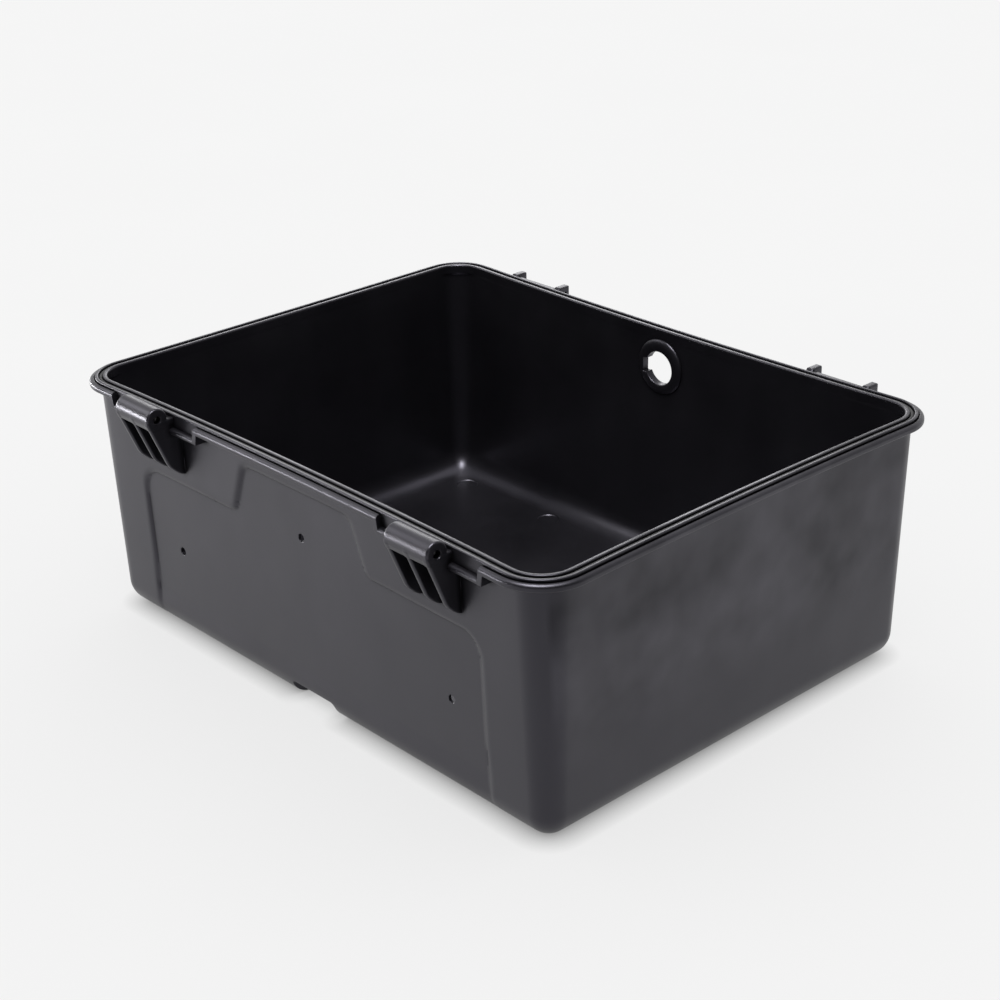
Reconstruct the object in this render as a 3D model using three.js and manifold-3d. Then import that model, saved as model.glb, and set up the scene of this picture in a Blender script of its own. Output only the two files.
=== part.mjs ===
// Open moulded tote base: a deep rectangular tub with a double-ridged rim, two
// hinge knuckles standing in pockets of the front flange, two pairs of catch
// ears on the rear flange and a keyed port in the rear wall.
// Millimetres, +Z up. Origin: centre of the footprint, on the ground.
// -Y is the knuckle side (front), +X is the right-hand short side.
import * as THREE from 'three';
import { mergeVertices } from 'three/addons/utils/BufferGeometryUtils.js';
import Module from 'manifold-3d';

const wasm = await Module();
wasm.setup();

// ------------------------------------------------------ driving dimensions
const INNER_L = 500;          // inside length of the mouth, along X
const INNER_W = 379;          // inside width of the mouth, along Y
const RIM_Z = 200;            // top of the two rim ridges
const MOUTH_R = 22.9;         // inside corner radius of the mouth
const BOW = { front: 4.3, right: 2.7, back: 5.0, left: 0.6 }; // walls draw in at mid-span
const BOW_LOW = 0.07;         // share of that bow left at the floor

const WALL = 4;               // wall and floor thickness
const FOOT_A = 250.1;         // outer half length where the walls meet the ground plane
const FOOT_B = 186.5;         // outer half width there
const TOP_OFFSET = 4.2;       // outer wall face outside the mouth line, at rim height
const TOP_A = INNER_L / 2 + TOP_OFFSET;
const TOP_B = INNER_W / 2 + TOP_OFFSET;
const FOOT_R = 17.5;          // outer corner radius at the ground
const TOP_R = 24;             // outer corner radius at the rim
const MIN_R = 3;              // smallest corner radius of any wall level
const EDGE_R = 20;            // radius that rolls the walls into the floor
const STRAIGHT_Z = EDGE_R + 24; // extra wall level above the rolled edge
const FLOOR_FILLET = 19;      // hollow radius round the inside of the floor
const MOUTH_BLEND = { low: 9, high: 7.5 }; // depths below the rim: cavity meets the mouth line

// Rim profile, as offsets outside the mouth line and heights
const RIDGE_1 = 3.6;          // outer side of the inner ridge
const GROOVE_OUT = 6.9;       // outer side of the seal groove
const GROOVE_FLOOR = 196;
const RIDGE_2 = 9.6;          // outer side of the outer ridge
const FLANGE_OUT = 14;        // outer edge of the flange
const FLANGE_TOP = 197.2;
const FLANGE_BOTTOM = FLANGE_TOP - 4.3;
const LIP_TOP = 198.1;        // crest of the flange's rounded lip
const LIP_IN = 10.5;          // inner side of the lip, just outside the outer ridge
const LIP_GAP_FLOOR = 196.6;
// [inset from the flange edge, top z] of the slabs that round the lip
const LIP_STEPS = [[0, FLANGE_TOP - 0.6], [0.7, LIP_TOP - 0.5], [2.2, LIP_TOP]];

// Cutters run past the material they remove
const OVERLAP = 1;
const CUT_TOP = RIM_Z + 5;
const FRONT_CUT = { outer: -230, inner: -150 }; // y range across the front wall

// ------------------------------------------------------------ solid helpers
const solidOf = (geometry) => {
  const bare = geometry.clone();
  bare.deleteAttribute('normal');
  bare.deleteAttribute('uv');
  const merged = mergeVertices(bare, 1e-4);
  return new wasm.Manifold(new wasm.Mesh({
    numProp: 3,
    vertProperties: Float32Array.from(merged.attributes.position.array),
    triVerts: Uint32Array.from(merged.index.array),
  }));
};

const geometryOf = (solid) => {
  const mesh = solid.getMesh();
  const geometry = new THREE.BufferGeometry();
  const positions = Float32Array.from(mesh.vertProperties);
  geometry.setAttribute('position', new THREE.BufferAttribute(positions, 3));
  geometry.setIndex(new THREE.BufferAttribute(Uint32Array.from(mesh.triVerts), 1));
  geometry.computeVertexNormals();
  return geometry;
};

const box = (x0, x1, y0, y1, z0, z1) =>
  solidOf(new THREE.BoxGeometry(x1 - x0, y1 - y0, z1 - z0)
    .translate((x0 + x1) / 2, (y0 + y1) / 2, (z0 + z1) / 2));

const rodX = (radius, x0, x1, y, z, segments) =>
  solidOf(new THREE.CylinderGeometry(radius, radius, x1 - x0, segments)
    .rotateZ(Math.PI / 2)
    .translate((x0 + x1) / 2, y, z));

const rodY = (radius, y0, y1, x, z, segments) =>
  solidOf(new THREE.CylinderGeometry(radius, radius, y1 - y0, segments)
    .translate(x, (y0 + y1) / 2, z));

// Prism of a list of [y, z] points, running along X from x0 to x1.
const prismX = (profile, x0, x1) => {
  const shape = new THREE.Shape(profile.map(([y, z]) => new THREE.Vector2(y, z)));
  const geometry = new THREE.ExtrudeGeometry(shape, {
    depth: x1 - x0, bevelEnabled: false, steps: 1,
  });
  // (u, v, w) -> (x0 + w, u, v)
  geometry.applyMatrix4(new THREE.Matrix4().set(0, 0, 1, x0, 1, 0, 0, 0, 0, 1, 0, 0, 0, 0, 0, 1));
  return solidOf(geometry);
};

// Prism of a shape drawn in (x, z), running along Y from y0 to y1.
const prismY = (shape, y0, y1, curveSegments) => {
  const geometry = new THREE.ExtrudeGeometry(shape, {
    depth: y1 - y0, bevelEnabled: false, steps: 1, curveSegments,
  });
  // (u, v, w) -> (u, y1 - w, v)
  geometry.applyMatrix4(new THREE.Matrix4().set(1, 0, 0, 0, 0, 0, -1, y1, 0, 1, 0, 0, 0, 0, 0, 1));
  return solidOf(geometry);
};

// Closed loft through levels [{ z, points }], bottom to top.
const loft = (levels) => {
  const count = levels[0].points.length;
  const top = (levels.length - 1) * count;
  const positions = levels.flatMap(({ z, points }) => points.flatMap(([x, y]) => [x, y, z]));
  const bottomCentre = positions.length / 3;
  const topCentre = bottomCentre + 1;
  positions.push(0, 0, levels[0].z, 0, 0, levels[levels.length - 1].z);

  const indices = [];
  for (let start = 0; start < top; start += count) {
    for (let i = 0; i < count; i++) {
      const low = start + i;
      const lowNext = start + (i + 1) % count;
      indices.push(low, lowNext, lowNext + count, low, lowNext + count, low + count);
    }
  }
  for (let i = 0; i < count; i++) {
    const next = (i + 1) % count;
    indices.push(bottomCentre, next, i);
    indices.push(topCentre, top + i, top + next);
  }
  const geometry = new THREE.BufferGeometry();
  geometry.setAttribute('position', new THREE.Float32BufferAttribute(positions, 3));
  geometry.setIndex(indices);
  return solidOf(geometry);
};

// ------------------------------------------------------- outlines and levels
const SIDE_STEPS = 8;
const CORNER_STEPS = 6;
const ROLL_STEPS = 6;

// Points round a rounded rectangle, counter-clockwise from above, whose sides
// bow inward at mid-span. The count is fixed, so that levels loft together.
const outline = (halfL, halfW, radius, bowShare = 1) => {
  const points = [];
  const straightX = halfL - radius;
  const straightY = halfW - radius;
  const side = (name, pointAt) => {
    for (let i = 0; i < SIDE_STEPS; i++) {
      const along = -1 + (2 * i) / SIDE_STEPS;
      points.push(pointAt(along, BOW[name] * bowShare * (1 - along * along)));
    }
  };
  const corner = (centreX, centreY, fromDegrees) => {
    for (let i = 0; i < CORNER_STEPS; i++) {
      const angle = THREE.MathUtils.degToRad(fromDegrees + (90 * i) / CORNER_STEPS);
      points.push([centreX + radius * Math.cos(angle), centreY + radius * Math.sin(angle)]);
    }
  };
  side('front', (along, bow) => [along * straightX, -halfW + bow]);
  corner(straightX, -straightY, -90);
  side('right', (along, bow) => [halfL - bow, along * straightY]);
  corner(straightX, straightY, 0);
  side('back', (along, bow) => [-along * straightX, halfW - bow]);
  corner(-straightX, straightY, 90);
  side('left', (along, bow) => [-halfL + bow, -along * straightY]);
  corner(-straightX, -straightY, 180);
  return points;
};

const bowShareAt = (z) => BOW_LOW + (1 - BOW_LOW) * (z / RIM_Z);
const drafted = (foot, top, z) => foot + (top - foot) * (z / RIM_Z);

// Level of the drafted wall, `inset` inside its outer face.
const wallLevel = (z, inset) => ({
  z,
  points: outline(
    drafted(FOOT_A, TOP_A, z) - inset,
    drafted(FOOT_B, TOP_B, z) - inset,
    Math.max(drafted(FOOT_R, TOP_R, z) - inset, MIN_R),
    bowShareAt(z),
  ),
});

// Wall levels of a rolled lower edge that starts from a flat bottom.
const rolledLevels = (bottom, radius, skinAt) => {
  const levels = [];
  for (let i = 0; i <= ROLL_STEPS; i++) {
    const angle = (Math.PI / 2) * (i / ROLL_STEPS);
    const z = bottom + radius * (1 - Math.cos(angle));
    levels.push(wallLevel(z, skinAt(z) + radius * (1 - Math.sin(angle))));
  }
  return levels;
};

// Solid block in the shape of the tub, its walls set in by skinAt(z).
const tubBlock = (skinAt) => loft([
  ...rolledLevels(0, EDGE_R, skinAt),
  ...[STRAIGHT_Z, RIM_Z].map((z) => wallLevel(z, skinAt(z))),
]);

// The mouth outline, `offset` outside it, as a level and as an upright slab.
const mouthLevel = (z, offset) => ({
  z,
  points: outline(INNER_L / 2 + offset, INNER_W / 2 + offset, MOUTH_R + offset),
});
const slab = (offset, z0, z1) => loft([mouthLevel(z0, offset), mouthLevel(z1, offset)]);

// ------------------------------------------------------- flange and ridges
const addFlange = (tub) => {
  for (const [inset, top] of LIP_STEPS) {
    tub = tub.add(slab(FLANGE_OUT - inset, FLANGE_BOTTOM, top));
  }
  // narrow gap inside the rounded lip
  tub = tub.subtract(slab(LIP_IN, LIP_GAP_FLOOR, CUT_TOP));
  return tub.add(slab(RIDGE_2, FLANGE_BOTTOM, RIM_Z));
};

// ------------------------------- flange pockets, boxed down round each knuckle
const KNUCKLE_X = 156;        // centre of each hinge knuckle
const POCKET_HALF = 50;       // half width of a pocket
const POCKET_WALL = 4.5;      // thickness of its end walls
const SHELF_TOP = 189.2;
const SHELF_BOTTOM = 185.2;

const addPocket = (tub, centre) => {
  const frontBox = (half, z0, z1) =>
    box(centre - half, centre + half, FRONT_CUT.outer, FRONT_CUT.inner, z0, z1);
  const casing = frontBox(POCKET_HALF + POCKET_WALL, SHELF_BOTTOM, FLANGE_TOP)
    .intersect(slab(FLANGE_OUT, SHELF_BOTTOM - OVERLAP, FLANGE_TOP));
  const opening = frontBox(POCKET_HALF, SHELF_TOP, CUT_TOP)
    .subtract(slab(RIDGE_2, SHELF_TOP - OVERLAP, CUT_TOP + OVERLAP));
  return tub.add(casing).subtract(opening);
};

// ---------- knuckles: a barrel with a short web under it, on three sloping ribs
const KNUCKLE_HALF = 21.3;    // half length of a knuckle
const BARREL = { y: -209.8, z: 198.7, r: 8.85 };
const BORE_R = 3.0;
const RIB_FOOT_Z = 149.3;     // where the ribs run out on the wall
const RIB_T = 3.9;            // thickness of each rib
const WEB_Z = 192;            // underside of the web
const KNUCKLE_ROOT_Y = -188.2; // rear of the ribs and web, within the wall
const KNUCKLE_TOP = FLANGE_TOP - 0.2;
const BARREL_FRONT = BARREL.y - BARREL.r;

// Profiles of [y, z]; ribs and web share their front and top edges.
const NOSE = [[BARREL_FRONT + 0.05, BARREL.z - 0.7], [BARREL_FRONT + 0.35, BARREL.z - 3.1]];
const KNUCKLE_TOP_EDGE = [[KNUCKLE_ROOT_Y, KNUCKLE_TOP], [BARREL.y, KNUCKLE_TOP]];
const RIB = [
  ...NOSE,
  [-203.9, RIB_FOOT_Z + 11.3],
  [-202, RIB_FOOT_Z + 8.3],
  [-198.3, RIB_FOOT_Z + 4.7],
  [-195.6, RIB_FOOT_Z + 2.5],
  [-193.2, RIB_FOOT_Z + 1],
  [-190.6, RIB_FOOT_Z + 0.1],
  [-188.6, RIB_FOOT_Z],
  [KNUCKLE_ROOT_Y, SHELF_BOTTOM + 1],
  ...KNUCKLE_TOP_EDGE,
];
const WEB = [
  ...NOSE,
  [BARREL_FRONT + 1.83, WEB_Z],
  [KNUCKLE_ROOT_Y, WEB_Z],
  ...KNUCKLE_TOP_EDGE,
];

const addKnuckle = (tub, centre) => {
  const x0 = centre - KNUCKLE_HALF;
  const x1 = centre + KNUCKLE_HALF;
  tub = tub.add(prismX(WEB, x0, x1)).add(rodX(BARREL.r, x0, x1, BARREL.y, BARREL.z, 32));
  for (const place of [-1, 0, 1]) {
    const ribX = centre + place * (KNUCKLE_HALF - RIB_T / 2);
    tub = tub.add(prismX(RIB, ribX - RIB_T / 2, ribX + RIB_T / 2));
  }
  return tub.subtract(rodX(BORE_R, x0 - OVERLAP, x1 + OVERLAP, BARREL.y, BARREL.z, 24));
};

// ------------- rear ears: two upright cheeks with a seat plate between them
const EAR_X = 165.4;          // centre of each pair
const EAR_OUT = 29.9;         // outer side of an ear from the pair's centre
const EAR_IN = EAR_OUT - 6.5; // inner side
const EAR_TOP = 198.1;
const EAR_REACH_Y = 215.4;    // rearmost face
const EAR_ROOT_Y = 186.2;     // front edge, within the wall
const EAR_HOLE = { r: 2.5, y: 209.6, z: 191 };
const SEAT = { y0: 187, y1: 206.5, z0: 184, z1: FLANGE_TOP - 1.2, halfX: EAR_OUT - 1 };
// Cheek profile, [y, z]
const CHEEK = [
  [EAR_ROOT_Y, 156],
  [189.6, 156],
  [194.5, 159],
  [EAR_REACH_Y - 1.4, 182],
  [EAR_REACH_Y, 186],
  [EAR_REACH_Y, EAR_TOP - 1.6],
  [EAR_REACH_Y - 0.5, EAR_TOP - 0.5],
  [EAR_REACH_Y - 1.6, EAR_TOP],
  [203.6, EAR_TOP],
  [202.4, FLANGE_TOP - 1],
  [EAR_ROOT_Y, FLANGE_TOP - 1],
];

const addEarPair = (tub, centre) => {
  // x range of the ear on one side of the pair, widened by `extra` each way
  const earSpan = (side, extra) => {
    const outer = centre + side * (EAR_OUT + extra);
    const inner = centre + side * (EAR_IN - extra);
    return [Math.min(outer, inner), Math.max(outer, inner)];
  };
  for (const side of [-1, 1]) {
    tub = tub.add(prismX(CHEEK, ...earSpan(side, 0)));
  }
  tub = tub.add(
    box(centre - SEAT.halfX, centre + SEAT.halfX, SEAT.y0, SEAT.y1, SEAT.z0, SEAT.z1));
  for (const side of [-1, 1]) {
    const hole = rodX(EAR_HOLE.r, ...earSpan(side, OVERLAP), EAR_HOLE.y, EAR_HOLE.z, 20);
    tub = tub.subtract(hole);
  }
  return tub;
};

// ------------------------------------------------- cavity and seal groove
const cavity = () => loft([
  ...rolledLevels(WALL, FLOOR_FILLET, () => WALL),
  wallLevel(RIM_Z - MOUTH_BLEND.low, WALL),
  mouthLevel(RIM_Z - MOUTH_BLEND.high, 0),
  mouthLevel(CUT_TOP, 0),
]);

const sealGroove = () => slab(GROOVE_OUT, GROOVE_FLOOR, CUT_TOP)
  .subtract(slab(RIDGE_1, GROOVE_FLOOR - OVERLAP, CUT_TOP + OVERLAP));

// ------ set-back front panel: full width low down, a tab rising to mid-wall
const PANEL = {
  depth: 2,
  fadeZ: 8,                   // the set-back fades out down to here
  foot: { x: 196, z: 6 },
  bend: { x: 192.8, z: 60 },  // slight bend in each side
  sideX: 192.3,               // top of each side, where the corner starts
  cornerR: 18,
  cornerZ: 119.5,
  cut: { outer: -240, inner: -150 },
};
const SHOULDER_Z = PANEL.cornerZ + PANEL.cornerR;
// Right side of the tab, [x, z]: line to the 1st point, curve to the 3rd
// controlled by the 2nd, then the same again with the last three.
const TAB = [
  [80, SHOULDER_Z], [75.6, SHOULDER_Z], [74, 142],
  [62, 173.5], [60.2, 179], [54, 179],
];

const setBackBlock = tubBlock((z) => PANEL.depth
  * THREE.MathUtils.clamp((z - PANEL.fadeZ) / (STRAIGHT_Z - PANEL.fadeZ), 0, 1));

const panelRecess = () => {
  const { foot, bend, sideX, cornerR, cornerZ, cut } = PANEL;
  const cornerX = sideX - cornerR;
  const shape = new THREE.Shape();
  const traceTabSide = (points) => {
    for (const i of [0, 3]) {
      shape.lineTo(...points[i]);
      shape.quadraticCurveTo(...points[i + 1], ...points[i + 2]);
    }
  };
  shape.moveTo(-foot.x, foot.z);
  shape.lineTo(foot.x, foot.z);
  shape.lineTo(bend.x, bend.z);
  shape.lineTo(sideX, cornerZ);
  shape.absarc(cornerX, cornerZ, cornerR, 0, Math.PI / 2, false);
  traceTabSide(TAB);
  traceTabSide(TAB.map(([x, z]) => [-x, z]).reverse());
  shape.lineTo(-cornerX, SHOULDER_Z);
  shape.absarc(-cornerX, cornerZ, cornerR, Math.PI / 2, Math.PI, false);
  shape.lineTo(-bend.x, bend.z);
  return prismY(shape, cut.outer, cut.inner, 5).subtract(setBackBlock);
};

// Three small fixing holes in the front wall, [x, z]
const HOLES = [[-154.8, 76.3], [158.6, 76.3], [1.7, 141.7]];
const HOLE_R = 3;
const HOLE_END_Y = -160;      // inner end of the cutter, inside the cavity

// ------------ hand notch under the front edge, closed off inside by its skin
const NOTCH = { half: 25, top: 15, depthY: -167, skin: 3 };
const NOTCH_SKIN_Y = -200;    // front of the skin block, trimmed to the wall
const NOTCH_SKIN_Z = 1;       // its underside
const NOTCH_CUT_Z = -5;       // cutter bottom, below the ground

const addNotch = (tub) => {
  const { half, top, depthY, skin } = NOTCH;
  const cover = box(
    -half - skin, half + skin, NOTCH_SKIN_Y, depthY + skin, NOTCH_SKIN_Z, top + skin);
  return tub
    .add(cover.intersect(setBackBlock))
    .subtract(box(-half, half, FRONT_CUT.outer, depthY, NOTCH_CUT_Z, top));
};

// ---------------- keyed port in the rear wall, with a stepped boss inside
const PORT = { x: 1.2, z: 167.2, r: 14.1, cutIn: 20, cutOut: 30 };
const KEY = { reach: 17.3, half: 6, z: 166.6 }; // slot on the -X side of the bore
const BOSS_Z = 168;
const BOSS_ROOT = 1.5;        // depth sunk into the wall
const BOSS_STEPS = [{ r: 23.4, height: 1.3 }, { r: 23.4 - 2.4, height: 2.6 }];

const addPort = (tub) => {
  // y of the rear wall's inner face at mid-span
  const face = drafted(FOOT_B, TOP_B, PORT.z) - BOW.back * bowShareAt(PORT.z) - WALL;
  for (const { r, height } of BOSS_STEPS) {
    tub = tub.add(rodY(r, face - height, face + BOSS_ROOT, PORT.x, BOSS_Z, 40));
  }
  const y0 = face - PORT.cutIn;
  const y1 = face + PORT.cutOut;
  const slot = box(PORT.x - KEY.reach, PORT.x, y0, y1, KEY.z - KEY.half, KEY.z + KEY.half);
  return tub.subtract(rodY(PORT.r, y0, y1, PORT.x, PORT.z, 36).add(slot));
};

// ------------------------------------------------------------- tub shell
const tubShell = () => {
  let tub = addFlange(tubBlock(() => 0));
  for (const side of [-1, 1]) tub = addPocket(tub, side * KNUCKLE_X);
  for (const side of [-1, 1]) tub = addKnuckle(tub, side * KNUCKLE_X);
  for (const side of [-1, 1]) tub = addEarPair(tub, side * EAR_X);
  // the cavity also trims whatever the added features leave inside
  tub = tub.subtract(cavity()).subtract(sealGroove()).subtract(panelRecess());
  for (const [x, z] of HOLES) {
    tub = tub.subtract(rodY(HOLE_R, FRONT_CUT.outer, HOLE_END_Y, x, z, 20));
  }
  return addPort(addNotch(tub));
};

// -------------------------------------- rim seal, a cord lying in the groove
const SEAL_GAP = 0.35;        // clearance to the groove's sides and floor
const SEAL_TOP = 198.8;
const SEAL_BEVEL = { height: 0.8, width: 0.7 };
const SEAL_CORE_FLARE = 1.57; // widening of the core cutter at its top, above the seal

const rimSeal = () => {
  const outer = GROOVE_OUT - SEAL_GAP;
  const inner = RIDGE_1 + SEAL_GAP;
  const bevelZ = SEAL_TOP - SEAL_BEVEL.height;
  const body = loft([
    mouthLevel(GROOVE_FLOOR + SEAL_GAP, outer),
    mouthLevel(bevelZ, outer),
    mouthLevel(SEAL_TOP, outer - SEAL_BEVEL.width),
  ]);
  const core = loft([
    mouthLevel(GROOVE_FLOOR - OVERLAP, inner),
    mouthLevel(bevelZ, inner),
    mouthLevel(SEAL_TOP, inner + SEAL_BEVEL.width),
    mouthLevel(SEAL_TOP + OVERLAP, inner + SEAL_CORE_FLARE),
  ]);
  return body.subtract(core);
};

// ------------------------------ hinge pins, chamfered rods inside the barrels
const PIN = { r: 2.65, half: 18, chamfer: 0.6 };

const hingePin = () => {
  const { r, half, chamfer } = PIN;
  // [radius, position along the axis]
  const profile = [
    [0, -half], [r - chamfer, -half], [r, -half + chamfer],
    [r, half - chamfer], [r - chamfer, half], [0, half],
  ].map(([radius, along]) => new THREE.Vector2(radius, along));
  return solidOf(new THREE.LatheGeometry(profile, 24).rotateZ(-Math.PI / 2));
};

// -------------------------------------------------------------- materials
const standard = (settings) => new THREE.MeshStandardMaterial(settings);
const tubPlastic = () => standard({ color: 0x1c1c1f, roughness: 0.48, metalness: 0 });
const sealRubber = () => standard({ color: 0x0d0d0e, roughness: 0.85, metalness: 0 });
const pinMetal = () => standard({ color: 0x6e7074, roughness: 0.35, metalness: 1 });

// --------------------------------------------------------------- assembly
const part = new THREE.Group();
const place = (name, solid, material, position = [0, 0, 0]) => {
  const mesh = new THREE.Mesh(geometryOf(solid), material);
  mesh.name = name;
  mesh.position.set(...position);
  part.add(mesh);
};

place('tub_shell', tubShell(), tubPlastic());
place('rim_seal', rimSeal(), sealRubber());
place('hinge_pin_left', hingePin(), pinMetal(), [-KNUCKLE_X, BARREL.y, BARREL.z]);
place('hinge_pin_right', hingePin(), pinMetal(), [KNUCKLE_X, BARREL.y, BARREL.z]);

export default part;
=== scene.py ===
"""Open moulded tote base: moulded body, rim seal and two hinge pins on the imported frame.

X runs along the length and Z is up, with the underside at z = 0. The front, with its two hinge
knuckles, faces -Y. The back, with two pairs of ears, faces +Y. Shapes are worked out in mm and
turned into metres when a mesh is made.
"""
import math

import bmesh
import bpy
import numpy as np
from mathutils import Matrix, Vector


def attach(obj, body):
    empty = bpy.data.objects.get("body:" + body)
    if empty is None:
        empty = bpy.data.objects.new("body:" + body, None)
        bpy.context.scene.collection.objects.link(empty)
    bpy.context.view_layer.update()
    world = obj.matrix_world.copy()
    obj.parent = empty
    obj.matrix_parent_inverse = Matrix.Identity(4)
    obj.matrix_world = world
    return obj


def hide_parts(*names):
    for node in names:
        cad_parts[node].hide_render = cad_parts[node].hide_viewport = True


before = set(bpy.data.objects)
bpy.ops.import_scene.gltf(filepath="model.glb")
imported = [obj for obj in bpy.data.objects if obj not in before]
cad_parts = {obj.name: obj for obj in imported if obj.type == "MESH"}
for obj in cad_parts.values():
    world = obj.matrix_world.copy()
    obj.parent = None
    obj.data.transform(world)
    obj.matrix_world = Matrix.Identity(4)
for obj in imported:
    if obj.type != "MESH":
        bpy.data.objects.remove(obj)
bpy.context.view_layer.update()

MM = 0.001

# ------------------------------------------------------------ dimensions (mm)
# Mouth and wall. The wall tapers from the foot to the rim, and its sides bow inwards.
INNER_L, INNER_W, RIM_Z, MOUTH_R = 500.0, 379.0, 200.0, 22.9
BOW = {"front": 4.3, "right": 2.7, "back": 5.0, "left": 0.6}     # at the rim
BOW_LOW = 0.07                                                   # share of the bow left at z = 0
WALL = 4.0
FOOT_HALF_L, FOOT_HALF_W, TOP_OFFSET = 250.1, 186.5, 4.2
TOP_HALF_L = INNER_L / 2 + TOP_OFFSET
TOP_HALF_W = INNER_W / 2 + TOP_OFFSET
FOOT_R, TOP_R = 17.5, 24.0                                       # corner radii in plan
EDGE_R, INNER_EDGE_R = 20.0, 19.0                                # rolls of underside and floor

# Rim, as offsets outward from the mouth: inner ridge, seal groove, outer ridge, flange
RIDGE_1, GROOVE_OUT, RIDGE_2, FLANGE_OUT = 3.6, 6.9, 9.6, 14.0
FLANGE_TOP, FLANGE_T, GROOVE_FLOOR = 197.2, 4.3, 196.0
FLANGE_FILLET, FLANGE_EDGE = 1.6, 1.0
LIP_H, LIP_START, LIP_RUN = 0.95, 1.7, 3.0
SHELF_TOP, SHELF_BOTTOM = 189.2, 185.2                           # flange round each knuckle
SEAL_GAP, SEAL_TOP, SEAL_CROWN = 0.35, 198.8, 1.15

# Knuckles and pins
KNUCKLE_X, KNUCKLE_HALF = 156.0, 21.3
BARREL_Y, BARREL_Z, BARREL_R, BORE_R = -209.8, 198.7, 8.85, 3.0
BARREL_FRONT = BARREL_Y - BARREL_R
RIB_FOOT_Z, RIB_T, WEB_Z = 149.3, 3.9, 192.0
PIN_R, PIN_HALF, PIN_EDGE, PIN_GROOVE_X = 2.65, 18.0, 0.6, 13.4

# Ears
EAR_X, EAR_OUT, EAR_T, EAR_TOP, EAR_REACH_Y = 165.4, 29.9, 6.5, 198.1, 215.4
EAR_BORE_R, EAR_BORE_Y, EAR_BORE_Z = 2.5, 209.6, 191.0

# Front panel, its holes, the bottom notch and the keyed port in the back wall
PANEL_DEPTH = 2.0
HOLE_R = 3.0
HOLES = [(-154.8, 76.3), (158.6, 76.3), (1.7, 141.7)]            # x, z
NOTCH_HALF, NOTCH_TOP, NOTCH_Y, NOTCH_SKIN = 25.0, 15.0, 167.0, 3.0
PORT_X, PORT_Z, PORT_R = 1.2, 167.2, 14.1
KEY_REACH, KEY_HALF, KEY_Z = 17.3, 6.0, 166.6
BOSS_R, BOSS_Z, BOSS_H, BOSS_ROUND = 23.4, 168.0, 2.6, 6.2

# Floor recesses
FLOOR_MARK_X, FLOOR_MARK_Y = (-210.7, -104.6, 104.6, 210.7), (-156.6, 156.6)

# Mesh density
HOLD_X = 216.0                     # front columns keep their x up to here on every row
STRAIGHT_HALF = INNER_L / 2 - MOUTH_R
HINGE_GRID = 0.52
EAR_GRID = HINGE_GRID * 1.5
NOTCH_GRID = 0.7


def smoothstep(t):
    t = np.clip(t, 0.0, 1.0)
    return t * t * (3.0 - 2.0 * t)


def between(start, end, share):
    return start + (end - start) * share


def quarter(count):
    """Angles of a quarter turn."""
    return np.linspace(0, math.pi / 2, count)


# ------------------------------------------------------------ mesh helpers
# A part is a pair: points in mm, and faces as lists of point indices.
def mesh_from(name, points, faces):
    mesh = bpy.data.meshes.new(name)
    mesh.from_pydata((np.asarray(points, float) * MM).tolist(), [], faces)
    mesh.validate()
    obj = bpy.data.objects.new(name, mesh)
    bpy.context.scene.collection.objects.link(obj)
    return obj


def merge(name, parts):
    """One mesh object out of several parts."""
    all_points, all_faces, start = [], [], 0
    for points, faces in parts:
        all_points.append(points)
        all_faces.extend([[i + start for i in face] for face in faces])
        start += len(points)
    return mesh_from(name, np.vstack(all_points), all_faces)


def mirrored_x(part):
    points, faces = part
    return points * np.array([-1.0, 1.0, 1.0]), [list(reversed(face)) for face in faces]


def ring_quads(rings, around, closed=False):
    """Quads between neighbouring rings. Closed also joins the last ring to the first."""
    bands = rings if closed else rings - 1
    k, i = np.meshgrid(np.arange(bands), np.arange(around), indexing="ij")
    j = (i + 1) % around
    above = (k + 1) % rings
    corners = [k * around + i, k * around + j, above * around + j, above * around + i]
    return np.stack(corners, axis=-1).reshape(-1, 4).tolist()


def closed_loft(rings):
    """Closed skin through rings of points. The first and last are capped."""
    around, count = len(rings[0]), len(rings)
    faces = ring_quads(count, around)
    faces.append(list(range(around - 1, -1, -1)))
    faces.append(list(range((count - 1) * around, count * around)))
    return np.vstack(rings), faces


def outward(part):
    """Turns a closed part's faces outward."""
    points, faces = part
    volume = 0.0
    for face in faces:
        corner = points[face]
        for i in range(1, len(face) - 1):
            volume += np.dot(corner[0], np.cross(corner[i], corner[i + 1]))
    return part if volume > 0 else (points, [list(reversed(face)) for face in faces])


def lathe(profile, axis, centre, segments=64):
    """Closed solid of revolution. The profile is (place along the axis, radius)."""
    angles = np.linspace(0, 2 * math.pi, segments, endpoint=False)
    rings = []
    for place, radius in profile:
        cosine, sine = np.cos(angles) * radius, np.sin(angles) * radius
        along = np.full(segments, place)
        columns = {"x": (along, cosine, sine), "y": (sine, along, cosine),
                   "z": (cosine, sine, along)}[axis]
        rings.append(np.stack(columns, 1) + np.array(centre))
    return outward(closed_loft(rings))


def smooth_shade(obj, angle=32.0):
    """Smooth shading, with edges sharper than the angle (degrees) kept sharp."""
    mesh = obj.data
    mesh.polygons.foreach_set("use_smooth", np.ones(len(mesh.polygons), bool))
    mesh.set_sharp_from_angle(angle=math.radians(angle))
    mesh.update()


# ------------------------------------------------------------ soft solids
# A solid is a field, negative inside. Blend is the width over which two solids run together.
def soft_union(first, second, blend):
    mix = np.clip(0.5 + 0.5 * (second - first) / blend, 0.0, 1.0)
    return second * (1 - mix) + first * mix - blend * mix * (1 - mix)


def soft_overlap(first, second, blend):
    return -soft_union(-first, -second, blend)


def overlap(first, *others):
    for other in others:
        first = np.maximum(first, other)
    return first


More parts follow.
